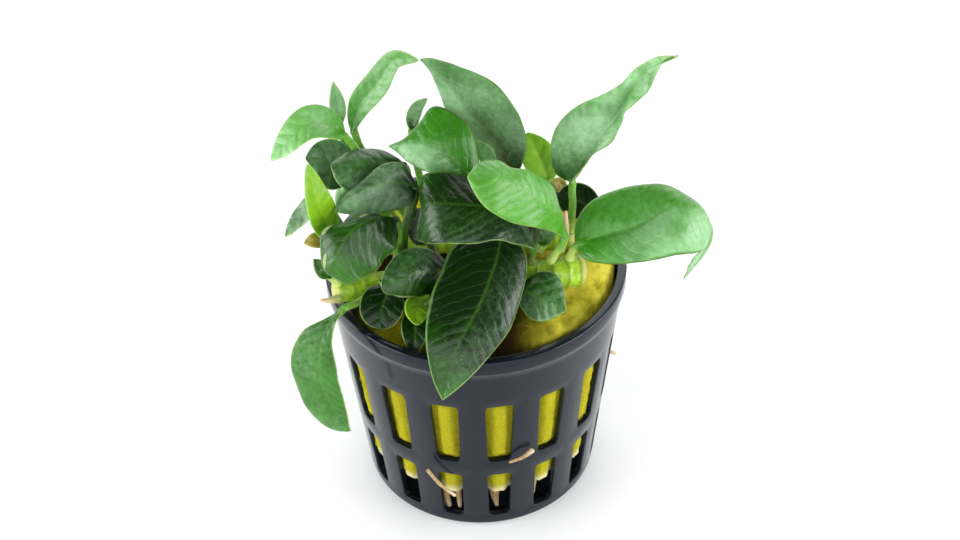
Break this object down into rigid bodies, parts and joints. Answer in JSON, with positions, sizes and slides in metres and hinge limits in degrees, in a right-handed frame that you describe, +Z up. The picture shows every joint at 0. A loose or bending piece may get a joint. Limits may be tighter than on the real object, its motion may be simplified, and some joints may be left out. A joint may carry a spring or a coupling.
{
  "type": "potted anubias in net pot",
  "caption": "Low bushy aquarium plant with glossy oval leaves on creeping rhizomes, growing from mineral wool in a tapered round slotted net pot.",
  "frame": {"origin": "centre of the pot's underside, on the surface that it stands on", "axes": "+Z up along the pot's axis, -Y towards the front, +X to the right seen from the front"},
  "size_m": [0.0773, 0.0585, 0.0925],
  "materials": {
    "pot_plastic": "satin",
    "mineral_wool": "matte",
    "rhizome": "satin",
    "sheath": "matte",
    "root": "matte",
    "leaf_mature": "gloss",
    "leaf_young": "gloss",
    "leaf_sunlit": "gloss",
    "leaf_old": "satin"
  },
  "bodies": {
    "root": {"net_pot": "pot_plastic", "wool_plug": "mineral_wool", "rhizome_right": "rhizome", "rhizome_left": "rhizome", "rhizome_rear": "rhizome", "sheath_right": "sheath", "sheath_left": "sheath", "root_left_inner": "root", "root_left_outer": "root", "root_middle": "root", "root_right": "root", "root_across_slot": "root", "root_on_ring": "root", "root_side": "root", "leaf_right_round": "leaf_mature", "leaf_right_tall": "leaf_mature", "leaf_right_shaded": "leaf_mature", "leaf_centre_light": "leaf_young", "leaf_centre_saddle": "leaf_mature", "leaf_centre_pale": "leaf_mature", "leaf_front_long": "leaf_mature", "leaf_front_right": "leaf_mature", "leaf_front_glossy": "leaf_mature", "leaf_front_small": "leaf_mature", "leaf_back_broad": "leaf_mature", "leaf_back_sunlit": "leaf_sunlit", "leaf_back_yellowing": "leaf_old", "leaf_crown_round": "leaf_mature", "leaf_crown_small": "leaf_mature", "leaf_crown_tip": "leaf_mature", "leaf_left_upright": "leaf_mature", "leaf_left_arching": "leaf_young", "leaf_left_slender": "leaf_mature", "leaf_left_rear": "leaf_mature", "leaf_left_upper": "leaf_mature", "leaf_left_broad": "leaf_mature", "leaf_left_pale": "leaf_mature", "leaf_left_torn": "leaf_mature", "leaf_left_curled": "leaf_sunlit", "leaf_left_outer": "leaf_mature", "leaf_left_withered": "leaf_old", "leaf_left_stub": "leaf_mature", "leaf_left_hanging": "leaf_mature", "leaf_rim_dark": "leaf_mature", "leaf_rim_yellow": "leaf_sunlit", "leaf_rim_narrow": "leaf_mature", "leaf_rim_curved": "leaf_mature", "leaf_gap_dark": "leaf_mature"}
  },
  "joints": []
}
